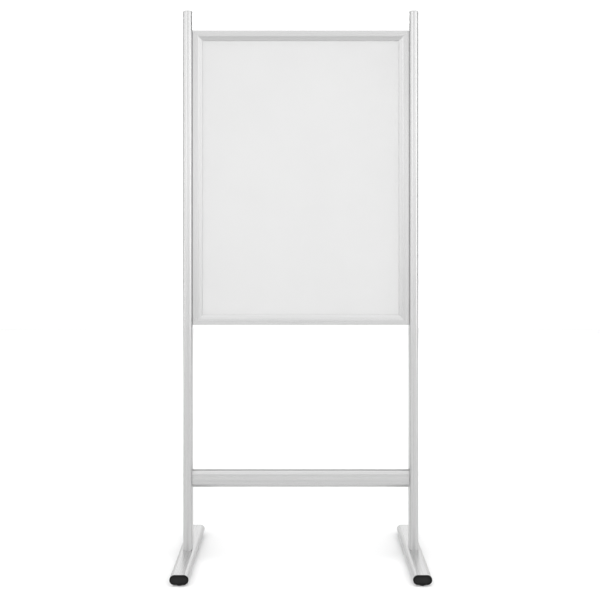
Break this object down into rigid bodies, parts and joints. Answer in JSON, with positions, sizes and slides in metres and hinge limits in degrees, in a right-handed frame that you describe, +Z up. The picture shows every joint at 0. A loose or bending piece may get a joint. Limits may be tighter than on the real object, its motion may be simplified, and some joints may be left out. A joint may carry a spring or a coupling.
{
  "type": "free-standing whiteboard",
  "caption": "Portrait whiteboard in a mitred bevelled frame, held between two flat-oval uprights on flat feet, with a low crossbar and levelling glides.",
  "frame": {"origin": "on the floor, midway between the two feet and midway along them", "axes": "+X to the right of someone facing the writing surface, +Y to the back, +Z up"},
  "size_m": [0.728, 0.45, 1.64],
  "materials": {
    "tube": "satin silver anodised extrusion",
    "rail": "satin silver anodised extrusion",
    "upright_cap": "moulded light grey polyethylene",
    "foot_cap": "moulded black polyethylene, fine grain",
    "glide_pad": "moulded black nylon",
    "steel": "bright zinc plated",
    "bush": "turned",
    "insert": "die cast",
    "plug": "moulded grey polyethylene",
    "writing": "white gloss lacquered steel sheet",
    "core": "fibreboard",
    "backing": "galvanised sheet"
  },
  "bodies": {
    "stand": {"access_plugs": "plug", "backing_sheet": "backing", "board_bolts": "steel", "board_nuts": "steel", "board_washers": "steel", "core_board": "core", "corner_key_bottom_left": "insert", "corner_key_bottom_right": "insert", "corner_key_top_left": "insert", "corner_key_top_right": "insert", "crossbar": "tube", "crossbar_bolts": "steel", "crossbar_insert_left": "insert", "crossbar_insert_right": "insert", "crossbar_washers": "steel", "foot_bolts": "steel", "foot_cap_back_left": "foot_cap", "foot_cap_back_right": "foot_cap", "foot_cap_front_left": "foot_cap", "foot_cap_front_right": "foot_cap", "foot_left": "tube", "foot_right": "tube", "foot_washers": "steel", "glide_bushes": "bush", "key_screws": "steel", "rail_bottom": "rail", "rail_left": "rail", "rail_right": "rail", "rail_top": "rail", "upright_base_left": "insert", "upright_base_right": "insert", "upright_cap_left": "upright_cap", "upright_cap_right": "upright_cap", "upright_left": "tube", "upright_right": "tube", "writing_surface": "writing"},
    "glide_front_left": {"glide_pad_front_left": "glide_pad", "glide_stud_front_left": "steel"},
    "glide_front_right": {"glide_pad_front_right": "glide_pad", "glide_stud_front_right": "steel"},
    "glide_back_left": {"glide_pad_back_left": "glide_pad", "glide_stud_back_left": "steel"},
    "glide_back_right": {"glide_pad_back_right": "glide_pad", "glide_stud_back_right": "steel"}
  },
  "joints": [
    {"name": "glide_front_left_screw", "type": "slide", "parent": "stand", "child": "glide_front_left", "axis": [0, 0, -1], "range_m": [0, 0.008]},
    {"name": "glide_front_right_screw", "type": "slide", "parent": "stand", "child": "glide_front_right", "axis": [0, 0, -1], "range_m": [0, 0.008]},
    {"name": "glide_back_left_screw", "type": "slide", "parent": "stand", "child": "glide_back_left", "axis": [0, 0, -1], "range_m": [0, 0.008]},
    {"name": "glide_back_right_screw", "type": "slide", "parent": "stand", "child": "glide_back_right", "axis": [0, 0, -1], "range_m": [0, 0.008]}
  ]
}
